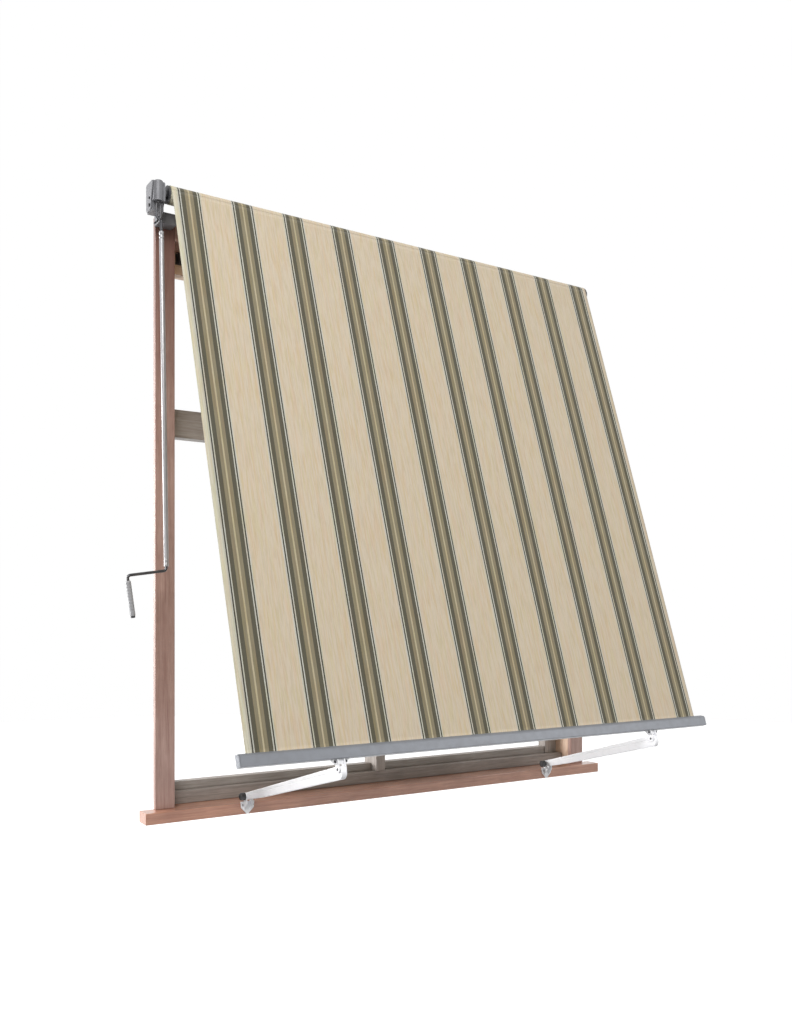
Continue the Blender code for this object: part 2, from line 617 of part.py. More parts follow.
def build_arm(side, sill_x, fork_x):
    """A tapered arm; if its two ends are not in one plane, the stretch between its eyes leans across."""
    along = Vector((0, -cos(ARM_RISE), sin(ARM_RISE)))
    across = Vector((0, sin(ARM_RISE), cos(ARM_RISE)))
    arm = as_mesh(outline_curve(f"{side}_arm", [arm_outline()], ARM_WIDTH))
    start, stop = 0.032, ARM_LENGTH - 0.030
    shape = bmesh.new()
    shape.from_mesh(arm.data)
    for cut in (start, stop):
        whole = shape.verts[:] + shape.edges[:] + shape.faces[:]
        bmesh.ops.bisect_plane(shape, geom=whole, dist=0.00001, plane_co=(cut, 0, 0), plane_no=(1, 0, 0))
    for vertex in shape.verts:
        share = min(1.0, max(0.0, (vertex.co.x - start) / (stop - start)))
        vertex.co.z -= (fork_x - sill_x) * share
    shape.to_mesh(arm.data)
    shape.free()
    lie = Matrix(((0, 0, -1), (along.y, across.y, 0), (along.z, across.z, 0))).to_4x4()
    arm.matrix_world = Matrix.Translation((sill_x, ARM_PIVOT.y, ARM_PIVOT.z)) @ lie
    finish(arm, f"{side}_arm", ARM_WHITE)
    bevel(arm, 0.0030, 2, 50)
    for name, x, place, radius in (("knuckle_hole", sill_x, ARM_PIVOT, PIN_RADIUS + 0.0004),
                                   ("lug_hole", fork_x, FORK_PIN, PIN_RADIUS + 0.0004)):
        hole = pin_along_x(name, x - 0.02, x + 0.02, place, radius, ARM_WHITE)
        combine(arm, hole, "DIFFERENCE")
    return arm


EAR_INSIDE = ARM_WIDTH / 2 + 0.0008
EAR_THICK = 0.0035


def build_sill_bracket(side, x):
    """A shield-shaped plate on the front of the sill, with two ears that hold the arm's pin."""
    back = FACE_Y - SILL_NOSE - GAP
    thick = 0.005
    top = SILL_TOP + 0.006
    shield = [(-0.026, top), (-0.024, 0.004)] + arc((0, -SILL_TOP + 0.0055), 0.005, 200, 340, 4)
    shield += [(0.024, 0.004), (0.026, top)]
    bracket = plate(f"{side}_sill_bracket", [shield], (x, back - thick / 2, 0), thick, ARM_WHITE, ALONG_Y)
    pivot = (ARM_PIVOT.y, ARM_PIVOT.z)
    ear = arc(pivot, 0.0130, -20, 200, 12)
    ear += [(pivot[0] - 0.0130, SILL_TOP), (back - 0.003, -0.006), (back - 0.0002, 0.004), (back - 0.0002, top)]
    for sign in (-1, 1):
        middle = x + sign * (EAR_INSIDE + EAR_THICK / 2)
        combine(bracket, plate("ear", [ear], (middle, 0, 0), EAR_THICK, ARM_WHITE), "UNION")
    combine(bracket, pin_along_x("pin_hole", x - 0.02, x + 0.02, ARM_PIVOT, PIN_RADIUS + 0.0003, ARM_WHITE),
            "DIFFERENCE")
    reach = EAR_INSIDE + EAR_THICK
    pin_along_x(f"{side}_arm_pin", x - reach - 0.006, x + reach + 0.001, ARM_PIVOT, PIN_RADIUS, DARK_STEEL)
    cap_left = x - reach - 0.0006
    cap = [(0, 0.021), (0.0115, 0.021), (0.0138, 0.0185), (0.0138, 0), (PIN_RADIUS + 0.0005, 0),
           (PIN_RADIUS + 0.0005, 0.0068), (0, 0.0068)]
    turned_along(spin(f"{side}_hub_cap", cap, BLACK_PLASTIC, 28), (cap_left, ARM_PIVOT.y, ARM_PIVOT.z), (-1, 0, 0))
    for name, offset in (("outer", -0.019), ("inner", 0.019)):
        head = [(0, 0.0028), (0.0030, 0.0025), (0.0042, 0), (0, 0)]
        turned_along(spin(f"{side}_bracket_{name}_screw", head, ROD_ALUMINIUM, 16),
                     (x + offset, back - thick - GAP, SILL_TOP - 0.006), (0, -1, 0))


def build_fork(side, x):
    """A trapezoid foot under the bar with two ears round the arm's lug, drawn in the bar's own plane."""
    top = BAR_HEIGHT / 2 + GAP
    pin_down = BAR_HEIGHT / 2 + FORK_DROP
    foot = [(-0.0315, top), (-0.0200, top + 0.015), (0.0200, top + 0.015), (0.0315, top)]
    in_front = Matrix(((1, 0, 0), (0, DOWN.y, OUT.y), (0, DOWN.z, OUT.z))).to_4x4()
    fork = plate(f"{side}_fork", [foot], (x, BAR_CENTRE.y, BAR_CENTRE.z), 0.006, ARM_WHITE, in_front)
    ear = [(-0.009, top), (-0.0105, pin_down)] + arc((0, pin_down), 0.0105, 180, 0, 8)[1:] + [(0.009, top)]
    for sign in (-1, 1):
        middle = x + sign * (EAR_INSIDE + EAR_THICK / 2)
        side_plate = plate("fork_ear", [ear], (middle, BAR_CENTRE.y, BAR_CENTRE.z), EAR_THICK, ARM_WHITE, IN_BAR)
        combine(fork, side_plate, "UNION")
    combine(fork, pin_along_x("fork_hole", x - 0.02, x + 0.02, FORK_PIN, PIN_RADIUS + 0.0003, ARM_WHITE),
            "DIFFERENCE")
    reach = EAR_INSIDE + EAR_THICK + 0.0015
    pin = pin_along_x(f"{side}_fork_pin", x - reach, x + reach, FORK_PIN, PIN_RADIUS, DARK_STEEL)
    pieces = [fork, pin]
    for name, offset in (("outer", -0.0190), ("inner", 0.0190)):
        head = [(0, 0.0030), (0.0032, 0.0026), (0.0045, 0), (0, 0)]
        screw = spin(f"{side}_fork_{name}_screw", head, DARK_STEEL, 16)
        place = BAR_CENTRE + (top + 0.007) * DOWN + (0.003 + GAP) * OUT + Vector((x + offset, 0, 0))
        pieces.append(turned_along(screw, place, OUT))
    return pieces


# ---------------------------------------------------------------- crank
def build_crank():
    """The hook hangs in the eye; everything below it leans a little, because the handle hangs to one side."""
    pivot = Vector((WORM_X, WORM_Y, EYE_BOTTOM))
    swing = joint_frame("crank_swing_axis", pivot)
    top = Vector((WORM_X + 0.0055, WORM_Y - 0.0125, SILL_TOP + 1.949))
    foot = top + Vector((0.0226, 0.0165, -CRANK_ROD_LENGTH))
    down = (foot - top).normalized()
    bend = WIRE_RADIUS * 2 + 0.0006
    over = [pivot + Vector((0, y, z)) for y, z in arc((0, 0), bend, 180, 0, 10)]
    neck = top + Vector((0, 0, 0.036))
    wire = [top + Vector((0, 0, 0.030)), neck, pivot + Vector((0.0015, -bend - 0.0010, -0.006))] + over
    wire += [pivot + Vector((-0.0015, bend + 0.0004, -0.004)), pivot + Vector((-0.0070, bend + 0.0010, -0.009)),
             pivot + Vector((-0.0135, bend, -0.0155))]
    hook = rod("crank_hook", wire, WIRE_RADIUS, DARK_STEEL)
    shank = spin("hook_shank", [(0, 0.033), (0.0036, 0.033), (0.0050, 0.029), (0.0050, -0.022), (0, -0.022)],
                 DARK_STEEL, 16)
    turned_along(shank, top, -down)
    combine(hook, shank, "UNION")

    inner = CRANK_ROD_RADIUS - 0.0016
    length = (foot - top).length
    tube = [(inner, 0), (CRANK_ROD_RADIUS, 0), (CRANK_ROD_RADIUS, -length), (inner, -length)]
    rod_part = turned_along(spin("crank_rod", tube, ROD_ALUMINIUM, 20), top, -down)

    side = Vector((-cos(radians(8.2)), 0, -sin(radians(8.2))))
    grip_down = Vector((sin(radians(7.9)), 0, -cos(radians(7.9))))
    elbow = foot + 0.014 * down
    wrist = elbow + CRANK_ARM_LENGTH * side

    def bend_points(corner, before, after, radius, steps=6):
        """A smooth corner from one direction into another, as a quadratic curve."""
        start, end = corner - radius * before, corner + radius * after
        shares = [i / steps for i in range(steps + 1)]
        return [start * (1 - s) ** 2 + corner * 2 * s * (1 - s) + end * s ** 2 for s in shares]

    spindle_end = wrist + 0.1385 * grip_down
    path = [foot - 0.030 * down] + bend_points(elbow, down, side, 0.012)
    path += bend_points(wrist, side, grip_down, 0.012) + [spindle_end]
    handle = rod("crank_handle", path, 0.0050, DARK_STEEL)

    bore = 0.0055
    grip_top = wrist + 0.0175 * grip_down
    grip = [(bore, 0), (0.0068, 0), (0.0078, -0.003), (0.0078, -0.009), (0.0092, -0.013), (0.0092, -0.112),
            (0.0080, -0.1165), (bore, -0.1165)]
    sleeve = turned_along(spin("grip_sleeve", grip, GRIP_PLASTIC, 24), grip_top, -grip_down)
    cap_top = grip_top + 0.1170 * grip_down
    cap = [(0, -0.0045), (bore, -0.0045), (bore, 0), (0.0075, 0), (0.0075, -0.0040), (0.0060, -0.0065), (0, -0.0065)]
    grip_cap = turned_along(spin("grip_cap", cap, BLACK_PLASTIC, 20), cap_top, -grip_down)
    carry(swing, hook, rod_part, handle, sleeve, grip_cap)


# ---------------------------------------------------------------- the whole object
def build():
    build_frame()
    build_window()
    build_brackets()
    build_gearbox()
    wheel = build_gears()
    carry(joint_frame("roller_axis", ROLLER), wheel, *build_roller())
    build_cloth()
    bar_pieces = build_bar()
    for side, sill_x, fork_x in zip(("left", "right"), SILL_PIVOTS, FORK_PIVOTS):
        arm = build_arm(side, sill_x, fork_x)
        carry(joint_frame(f"{side}_arm_axis", (sill_x, ARM_PIVOT.y, ARM_PIVOT.z)), arm)
        build_sill_bracket(side, sill_x)
        bar_pieces += build_fork(side, fork_x)
    carry(joint_frame("bar_axis", FORK_PIN), *bar_pieces)
    build_crank()


build()
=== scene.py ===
import json
from math import asin, atan2, cos, pi, radians, sin

import bmesh
import bpy
from mathutils import Matrix, Vector


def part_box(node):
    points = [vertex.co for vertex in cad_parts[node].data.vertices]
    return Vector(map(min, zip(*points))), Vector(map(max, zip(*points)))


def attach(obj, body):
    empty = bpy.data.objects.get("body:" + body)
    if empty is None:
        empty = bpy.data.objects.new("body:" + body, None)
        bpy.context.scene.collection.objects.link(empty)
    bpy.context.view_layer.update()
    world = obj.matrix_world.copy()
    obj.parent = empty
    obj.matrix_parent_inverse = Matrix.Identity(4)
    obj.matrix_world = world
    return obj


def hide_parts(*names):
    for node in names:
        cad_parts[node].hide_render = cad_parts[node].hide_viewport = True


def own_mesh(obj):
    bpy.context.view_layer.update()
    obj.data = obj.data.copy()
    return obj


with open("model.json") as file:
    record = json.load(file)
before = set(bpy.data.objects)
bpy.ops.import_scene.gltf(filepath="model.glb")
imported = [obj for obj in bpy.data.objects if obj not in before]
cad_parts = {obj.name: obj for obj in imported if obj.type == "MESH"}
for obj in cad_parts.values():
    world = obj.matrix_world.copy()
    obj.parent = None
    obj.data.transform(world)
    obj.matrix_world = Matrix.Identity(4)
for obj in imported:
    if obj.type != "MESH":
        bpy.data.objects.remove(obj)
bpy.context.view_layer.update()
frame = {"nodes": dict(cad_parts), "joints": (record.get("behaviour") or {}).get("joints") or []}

# ---- The view
# The window stands at eye height in a plain white studio. The camera looks along the wall from the left,
# and the light is soft and mostly from above, with one lamp behind the window for the inner faces.
lens_camera = bpy.data.objects.new("camera", bpy.data.cameras.new("camera"))
bpy.context.scene.collection.objects.link(lens_camera)
lens_camera.location = (-2.13, -3.42, 0.692)
lens_camera.rotation_euler = (radians(90), 0, radians(-32.93))
lens_camera.data.sensor_width = 36
lens_camera.data.lens = 34.28
lens_camera.data.shift_y = 0.1006
bpy.context.scene.camera = lens_camera
bpy.context.scene.view_settings.view_transform = "Standard"


def as_object(shape, name):
    """Make a worked mesh an object of the scene."""
    mesh = bpy.data.meshes.new(name)
    shape.to_mesh(mesh)
    shape.free()
    made = bpy.data.objects.new(name, mesh)
    bpy.context.scene.collection.objects.link(made)
    return made


def studio_surface(shape, name, colour, glow):
    """A matt surface around the window, with a glow of its own, that throws no light on it."""
    made = as_object(shape, name)
    matt = bpy.data.materials.new(name)
    matt.use_nodes = True
    shader = matt.node_tree.nodes["Principled BSDF"]
    shader.inputs["Base Color"].default_value = (*colour, 1)
    shader.inputs["Roughness"].default_value = 0.9
    shader.inputs["Emission Color"].default_value = (1, 1, 1, 1)
    shader.inputs["Emission Strength"].default_value = glow
    made.data.materials.append(matt)
    made.visible_diffuse = False
    return made


floor_shape = bmesh.new()
bmesh.ops.create_circle(floor_shape, cap_ends=True, segments=64, radius=12)
floor = studio_surface(floor_shape, "floor", (0.8, 0.8, 0.8), 0.45)
floor.location.z = -0.92
dome_shape = bmesh.new()
bmesh.ops.create_icosphere(dome_shape, subdivisions=4, radius=14)
dome = studio_surface(dome_shape, "backdrop", (0, 0, 0), 0.98)
dome.visible_shadow = False

sky = bpy.data.worlds.new("soft_studio")
bpy.context.scene.world = sky
sky.use_nodes = True
sky_nodes = sky.node_tree            # dimmer below than above
sky_place = sky_nodes.nodes.new("ShaderNodeTexCoord")
sky_split = sky_nodes.nodes.new("ShaderNodeSeparateXYZ")
sky_ramp = sky_nodes.nodes.new("ShaderNodeMapRange")
for label, value in (("From Min", -0.6), ("From Max", 0.8), ("To Min", 0.28), ("To Max", 0.85)):
    sky_ramp.inputs[label].default_value = value
sky_nodes.links.new(sky_place.outputs["Generated"], sky_split.inputs[0])
sky_nodes.links.new(sky_split.outputs["Z"], sky_ramp.inputs["Value"])
sky_nodes.links.new(sky_ramp.outputs["Result"], sky_nodes.nodes["Background"].inputs["Strength"])
sky_nodes.nodes["Background"].inputs["Color"].default_value = (1, 1, 1, 1)


def soft_lamp(name, place, aim, size, energy):
    """A square lamp of a size in metres and an energy in watts, aimed at a point."""
    lamp = bpy.data.objects.new(name, bpy.data.lights.new(name, "AREA"))
    lamp.data.size = size
    lamp.data.energy = energy
    lamp.location = place
    lamp.rotation_euler = (Vector(aim) - Vector(place)).to_track_quat("-Z", "Y").to_euler()
    bpy.context.scene.collection.objects.link(lamp)


soft_lamp("key_lamp", (-3.6, -4.2, 4.8), (0, -0.3, 1.3), 2.5, 240)
soft_lamp("fill_lamp", (3.5, -4.5, 2.2), (0, -0.3, 1.0), 3.0, 50)
soft_lamp("rear_lamp", (-3.4, 2.4, 1.3), (0.9, -0.1, 0.8), 2.2, 230)

# ---- Timber frame
# Sill, linings and architraves of the window: planed softwood under a reddish-brown varnish that has
# weathered a little, pale where the grain is open and darker in the knots, with painted shade darkening the
# uprights' tops.


class Wire:
    """An output socket of a material. Sums written on it in plain Python add Math nodes."""

    def __init__(self, tree, socket):
        self.tree = tree
        self.socket = socket

    def node(self, kind, settings, inputs, output=0):
        """Add a node: its type, its settings, and the values or links of its sockets."""
        made = self.tree.nodes.new("ShaderNode" + kind)
        for name, value in settings.items():
            if name == "stops":
                stops = made.color_ramp.elements
                stops.remove(stops[1])
                stops[0].position = value[0][0]
                stops[0].color = (*value[0][1], 1)
                for place, colour in value[1:]:
                    stops.new(place).color = (*colour, 1)
            elif name == "blend":
                made.color_ramp.interpolation = value
            else:
                setattr(made, name, value)
        for name, value in inputs.items():
            if isinstance(value, Wire):
                self.tree.links.new(value.socket, made.inputs[name])
            else:
                made.inputs[name].default_value = value
        return Wire(self.tree, made.outputs[output])

    def run(self, operation, other=0.0):
        """A Math node on this and another value."""
        return self.node("Math", {"operation": operation}, {0: self, 1: other})

    def __add__(self, other):
        return self.run("ADD", other)

    def __sub__(self, other):
        return self.run("SUBTRACT", other)

    def __rsub__(self, other):
        return self.node("Math", {"operation": "SUBTRACT"}, {0: other, 1: self})

    def __mul__(self, other):
        return self.run("MULTIPLY", other)

    def __truediv__(self, other):
        return self.run("DIVIDE", other)

    __radd__ = __add__
    __rmul__ = __mul__

    def steps(self, low, high):
        """0 below low and 1 above high."""
        return self.node("MapRange", {"interpolation_type": "SMOOTHSTEP"},
                         {"Value": self, "From Min": low, "From Max": high})

    def tint(self, first, second, way="MIX"):
        """first where this is 0 and second where it is 1."""
        colours = [c if isinstance(c, Wire) else (*c, 1) for c in (first, second)]
        return self.node("Mix", {"data_type": "RGBA", "blend_type": way},
                         {0: self, 6: colours[0], 7: colours[1]}, 2)

    def stretched(self, factors):
        """This place with each axis multiplied by its own factor."""
        return self.node("VectorMath", {"operation": "MULTIPLY"}, {0: self, 1: factors})

    def noise(self, scale, detail=3, roughness=0.55):
        return self.node("TexNoise", {}, {"Vector": self, "Scale": scale, "Detail": detail,
                                          "Roughness": roughness})

    def part(self, axis):
        return self.node("SeparateXYZ", {}, {0: self}, axis)


class Finish:
    """A material under construction: its place on the object, and its one shader."""

    def __init__(self, name, **fixed):
        self.material = bpy.data.materials.new(name)
        self.material.use_nodes = True
        tree = self.material.node_tree
        self.shader = tree.nodes["Principled BSDF"]
        for label, value in fixed.items():
            self.shader.inputs[label.replace("_", " ")].default_value = value
        self.place = Wire(tree, None).node("TexCoord", {}, {}, "Object")

    def lead(self, label, wire):
        """Link a value to one of the shader's sockets."""
        self.place.tree.links.new(wire.socket, self.shader.inputs[label])

    def bump(self, height, distance, strength=1.0):
        bumped = height.node("Bump", {}, {"Height": height, "Distance": distance, "Strength": strength})
        self.lead("Normal", bumped)


def paint(finish, *names):
    """Give a finish to CAD nodes by name, or to pieces."""
    for name in names:
        piece = frame["nodes"][name] if isinstance(name, str) else name
        piece.data.materials.clear()
        piece.data.materials.append(finish.material)


def wood(name, along, pale, mid, dark, gloss, coat, painted_top_shade=None):
    """Straight-grained timber whose grain runs along one axis (0 for X, 2 for Z). The last argument, if
    given, is the colour of a painted shade that darkens its top.
    """
    made = Finish(name, Specular_IOR_Level=0.4, Coat_Weight=coat, Coat_Roughness=0.14)
    squeeze = [1.0, 1.0, 1.0]
    squeeze[along] = 0.045
    grain_place = made.place.stretched(tuple(squeeze))
    drift = made.place.stretched(tuple(0.4 * s for s in squeeze)).noise(9, 2)
    rings = grain_place.noise(75, 5, 0.62) * 0.7 + grain_place.noise(240, 3, 0.6) * 0.45 + drift * 0.5
    squeeze[along] = 0.027
    pores = made.place.stretched(tuple(squeeze)).noise(900, 2)
    tone = rings.node("ValToRGB", {"stops": [(0.5, dark), (0.72, mid), (1.0, pale)]}, {0: rings})
    # painted shade: the timber fades to a darker colour towards the top, where the awning shades it
    if painted_top_shade:
        tone = (made.place.part("Z").steps(1.1, 2.1) * 0.75).tint(tone, painted_top_shade)
    patches = made.place.noise(5, 3).steps(0.35, 0.7)
    toned = (patches * 0.3).tint(tone, dark)
    fine = pores.steps(0.5, 0.72)
    made.lead("Base Color", (fine * 0.3).tint(toned, dark))
    made.lead("Roughness", gloss + 0.22 * fine + 0.12 * patches)
    made.bump(rings * 0.6 + pores * 0.4, 0.0006, 0.5)
    return made


sill_wood = wood("varnished_wood_sill", 0, (0.56, 0.28, 0.175), (0.38, 0.165, 0.10), (0.17, 0.06, 0.036),
                 0.32, 0.9)
level_wood = wood("varnished_wood_level", 0, (0.50, 0.31, 0.25), (0.36, 0.205, 0.16), (0.15, 0.07, 0.05),
                  0.38, 0.4)
# The uprights carry a painted shade that darkens them towards their tops.
tall_wood = wood("varnished_wood_upright", 2, (0.50, 0.335, 0.285), (0.36, 0.215, 0.18), (0.15, 0.07, 0.052),
                 0.38, 0.4, painted_top_shade=(0.11, 0.032, 0.022))
pale_wood = wood("varnished_wood_lining", 2, (0.80, 0.60, 0.46), (0.68, 0.47, 0.34), (0.42, 0.24, 0.16),
                 0.38, 0.4)
paint(sill_wood, "sill_board")
paint(level_wood, "head_lining", "head_architrave")
paint(tall_wood, "left_architrave", "right_architrave")
paint(pale_wood, "left_lining", "right_lining")

# ---- Window members
# Rails, stiles, mullion and transoms behind the architraves: the same grain in greyer, darker browns than
# the frame, and duller. The bottom rail is darker still. The top rail was left pale.
grey_pale, grey_mid, grey_dark = (0.44, 0.40, 0.37), (0.28, 0.245, 0.22), (0.14, 0.115, 0.10)
level_grey_wood = wood("grey_wood_level", 0, grey_pale, grey_mid, grey_dark, 0.5, 0.2)
upright_grey_wood = wood("grey_wood_upright", 2, grey_pale, grey_mid, grey_dark, 0.5, 0.2)
low_grey_wood = wood("grey_wood_low", 0, (0.34, 0.30, 0.27), (0.215, 0.185, 0.165), (0.11, 0.09, 0.08),
                 0.5, 0.2)
bare_wood = wood("bare_wood_level", 0, (0.80, 0.62, 0.48), (0.68, 0.49, 0.36), (0.42, 0.26, 0.18), 0.5, 0.0)
paint(level_grey_wood, "left_transom", "right_transom", "left_glazing_rail", "right_glazing_rail")
paint(low_grey_wood, "window_bottom_rail")
paint(bare_wood, "window_top_rail")
paint(upright_grey_wood, "window_left_stile", "window_right_stile", "right_sash_stile", "window_mullion")

# ---- Metal and plastic hardware
# Grey coated castings, dark steel pins and screws, satin aluminium extrusions, white coated arm fittings
# and moulded black plastic. The castings are screwed to the frame, and each coat is lightly mottled.


def metal(name, colour, worn, roughness, metallic, grain, depth):
    """A coat or bare metal that clouds from one colour to another, with a fine grain of a given depth."""
    made = Finish(name, Metallic=metallic)
    cloud = made.place.noise(40, 4)
    speck = made.place.noise(grain, 2)
    made.lead("Base Color", (cloud.steps(0.35, 0.75) * 0.6).tint(colour, worn))
    made.lead("Roughness", roughness + 0.18 * cloud - 0.08 * speck)
    made.bump(speck, depth, 0.4)
    return made


grey_casting = metal("grey_casting", (0.175, 0.175, 0.185), (0.14, 0.14, 0.15), 0.45, 0.35, 900, 0.0002)
dark_steel = metal("dark_steel", (0.045, 0.045, 0.05), (0.10, 0.095, 0.09), 0.35, 0.6, 1500, 0.0001)
rod_metal = metal("rod_aluminium", (0.36, 0.355, 0.36), (0.29, 0.285, 0.29), 0.32, 0.6, 1500, 0.0001)
bar_metal = metal("bar_aluminium", (0.205, 0.215, 0.235), (0.185, 0.19, 0.205), 0.38, 0.45, 1200, 0.0001)
white_coat = metal("arm_white", (0.86, 0.86, 0.88), (0.78, 0.78, 0.80), 0.3, 0.0, 700, 0.0002)
black_plastic = metal("black_plastic", (0.018, 0.018, 0.02), (0.03, 0.03, 0.032), 0.45, 0.0, 900, 0.0001)
grip_plastic = metal("grip_plastic", (0.33, 0.33, 0.34), (0.29, 0.29, 0.30), 0.5, 0.0, 900, 0.0002)
paint(grey_casting, "left_roller_bracket", "right_roller_bracket", "gearbox_housing", "gearbox_cover",
      "worm_wheel", "roller_tube")
paint(dark_steel, "casement_hinge", "gearbox_cover_screw", "gearbox_oil_plug", "worm_eye", "left_roller_cap",
      "right_roller_cap", "crank_hook", "crank_handle", "left_arm_pin", "right_arm_pin", "left_fork_pin",
      "right_fork_pin", "left_fork_outer_screw", "left_fork_inner_screw", "right_fork_outer_screw",
      "right_fork_inner_screw")
paint(rod_metal, "left_bracket_outer_screw", "left_bracket_inner_screw",
      "right_bracket_outer_screw", "right_bracket_inner_screw")
paint(black_plastic, "grip_cap", "hem_rod")
paint(bar_metal, "front_bar", "left_bar_cap", "right_bar_cap")
paint(white_coat, "left_sill_bracket", "right_sill_bracket", "left_fork", "right_fork")

# ---- Crank rod, grip and hub caps
# The rod is drawn aluminium, crimped on to its fittings at both ends. The grip is a ribbed plastic sleeve
# that turns on the handle, and a domed plastic cap is pushed on to each arm's pivot pin.


def skin(shape, rings):
    """Close a row of rings of points into one body with flat ends."""
    for a, b in zip(rings, rings[1:]):
        for i in range(len(a)):
            j = (i + 1) % len(a)
            shape.faces.new((a[i], a[j], b[j], b[i]))
    shape.faces.new(list(reversed(rings[0])))
    shape.faces.new(rings[-1])
    bmesh.ops.recalc_face_normals(shape, faces=shape.faces)


def fitted(shape, name, finish, sharp, body, node):
    """Place a finished shape on its body, where it stands for a CAD node."""
    made = as_object(shape, name)
    made.data.shade_smooth()
    made.data.set_sharp_from_angle(angle=radians(sharp))
    made.data.materials.append(finish.material)
    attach(made, body)
    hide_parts(node)


def turned(name, start, along, profile, finish, body, node):
    """A turned piece whose profile is (distance along, radius) from start."""
    around = 40
    spin_axis = Vector(along).normalized()
    side = spin_axis.orthogonal().normalized()
    other = spin_axis.cross(side)
    shape = bmesh.new()
    spokes = [side * cos(2 * pi * i / around) + other * sin(2 * pi * i / around) for i in range(around)]
    rings = []
    for distance, radius in profile:
        middle = Vector(start) + spin_axis * distance
        rings.append([shape.verts.new(middle + spoke * radius) for spoke in spokes])
    skin(shape, rings)
    fitted(shape, name, finish, 40, body, node)


rod_low, rod_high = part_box("crank_rod")
rod_radius = 0.008
rod_top = Vector((rod_low.x + rod_radius, rod_low.y + rod_radius, rod_high.z))
rod_foot = Vector((rod_high.x - rod_radius, rod_high.y - rod_radius, rod_low.z))
rod_length = (rod_foot - rod_top).length
rod_half = [(0, 0.0064), (0.0012, 0.008), (0.011, 0.008), (0.0125, 0.0071), (0.0145, 0.0071), (0.016, 0.008),
            (0.023, 0.008), (0.0245, 0.0071), (0.0265, 0.0071), (0.028, 0.008)]
rod_profile = rod_half + [(rod_length - distance, radius) for distance, radius in reversed(rod_half)]
turned("crank_rod_tube", rod_top, rod_foot - rod_top, rod_profile, rod_metal, "crank", "crank_rod")

grip_joint = next(joint for joint in frame["joints"] if joint["name"] == "grip_spin")
sleeve_length = 0.117
sleeve_profile = [(0, 0.0065), (0.0015, 0.0082), (0.004, 0.0088)]
for rib in range(9):
    rib_start = 0.012 + 0.0105 * rib
    sleeve_profile += [(rib_start, 0.0088), (rib_start + 0.0012, 0.0084), (rib_start + 0.0030, 0.0084),
                       (rib_start + 0.0042, 0.0088)]
sleeve_profile += [(sleeve_length - 0.004, 0.0090), (sleeve_length - 0.0012, 0.0088), (sleeve_length, 0.0074)]
turned("grip_ribbed_sleeve", grip_joint["pos_m"], grip_joint["axis"], sleeve_profile, grip_plastic, "grip",
       "grip_sleeve")

cap_radius = 0.0135
for side in ("left", "right"):
    cap_low, cap_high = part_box(side + "_hub_cap")
    cap_middle = (cap_low + cap_high) / 2
    cap_width = cap_high.x - cap_low.x
    cap_profile = [(0, cap_radius - 0.0008), (0.0008, cap_radius), (cap_width * 0.62, cap_radius)]
    for i in range(1, 9):
        arc = pi / 2 * i / 9
        cap_profile.append((cap_width * (0.62 + 0.38 * sin(arc)), cap_radius * (0.35 + 0.65 * cos(arc))))
    cap_profile += [(cap_width * 0.97, cap_radius * 0.30), (cap_width * 0.90, cap_radius * 0.26)]
    away = -1 if side == "left" else 1
    cap_start = (cap_high.x if side == "left" else cap_low.x, cap_middle.y, cap_middle.z)
    turned(side + "_hub_cap_domed", cap_start, (away, 0, 0), cap_profile, black_plastic, "window_frame",
           side + "_hub_cap")

# ---- Drop arms
# White coated channels that deepen a little towards the fork, rounded over both pins, with a groove
# rolled along each side. The right-hand one is joggled to line up with its fork.
joint_places = {joint["name"]: Vector(joint["pos_m"]) for joint in frame["joints"] if "pos_m" in joint}
arm_pivot, fork_pins = joint_places["arm_swing"], joint_places["bar_tilt"]
arm_span = Vector((0, fork_pins.y - arm_pivot.y, fork_pins.z - arm_pivot.z))
arm_length = arm_span.length
arm_along = arm_span.normalized()
arm_up = Vector((0, arm_along.z, -arm_along.y))
arm_half_width, pivot_round, fork_round, fork_reach = 0.009, 0.0125, 0.0105, 0.016
taper, shoulder = 0.0135, 0.004      # how much deeper an arm grows along its length, and near its pivot
joggle_start, joggle_length = 0.032, arm_length - 0.062


def arm_edges(s):
    """Heights of an arm's upper and lower edge at a distance s from its pivot."""
    share = min(max(s / arm_length, 0), 1)
    upper = pivot_round + (fork_round - pivot_round) * share
    lower = -pivot_round - taper * share - shoulder * sin(pi * min(share * 4, 1) / 2)
    if s < 0:
        squeeze = (1 - (s / pivot_round) ** 2) ** 0.5
    elif s > arm_length:
        squeeze = (1 - ((s - arm_length) / fork_reach) ** 2) ** 0.5
    else:
        squeeze = 1
    middle = (upper + lower) / 2
    return middle + (upper - middle) * squeeze, middle + (lower - middle) * squeeze


def drop_arm(side, pivot_x, body):
    """An arm from its pivot on the sill to its fork, as a grooved section run along its stations."""
    fork_low, fork_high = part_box(side + "_fork")
    shift = (fork_low.x + fork_high.x) / 2 - pivot_x
    stations = [-pivot_round * cos(pi / 2 * i / 8) * 0.999 for i in range(9)]
    stations += [joggle_start + joggle_length * i / 24 for i in range(25)]
    stations += [arm_length + fork_reach * sin(pi / 2 * i / 8) * 0.999 for i in range(9)]
    groove = [(1, 0.30), (0.88, 0.33), (0.88, 0.38), (1, 0.41)]
    one_side = [(0.86, 0.0), (1, 0.06)] + groove + [(1, 0.94), (0.86, 1.0)]
    section = one_side + [(-across, depth) for across, depth in reversed(one_side)]
    shape = bmesh.new()
    rings = []
    for s in stations:
        upper, lower = arm_edges(s)
        x = pivot_x + shift * min(max((s - joggle_start) / joggle_length, 0), 1)
        ring = []
        for across, depth in section:
            point = arm_pivot + arm_along * s + arm_up * (upper + (lower - upper) * depth)
            ring.append(shape.verts.new((x + across * arm_half_width, point.y, point.z)))
        rings.append(ring)
    skin(shape, rings)
    fitted(shape, side + "_drop_arm", white_coat, 28, body, side + "_arm")


drop_arm("left", arm_pivot.x, "left_arm_body")
drop_arm("right", joint_places["right_arm_swing"].x, "right_arm_body")

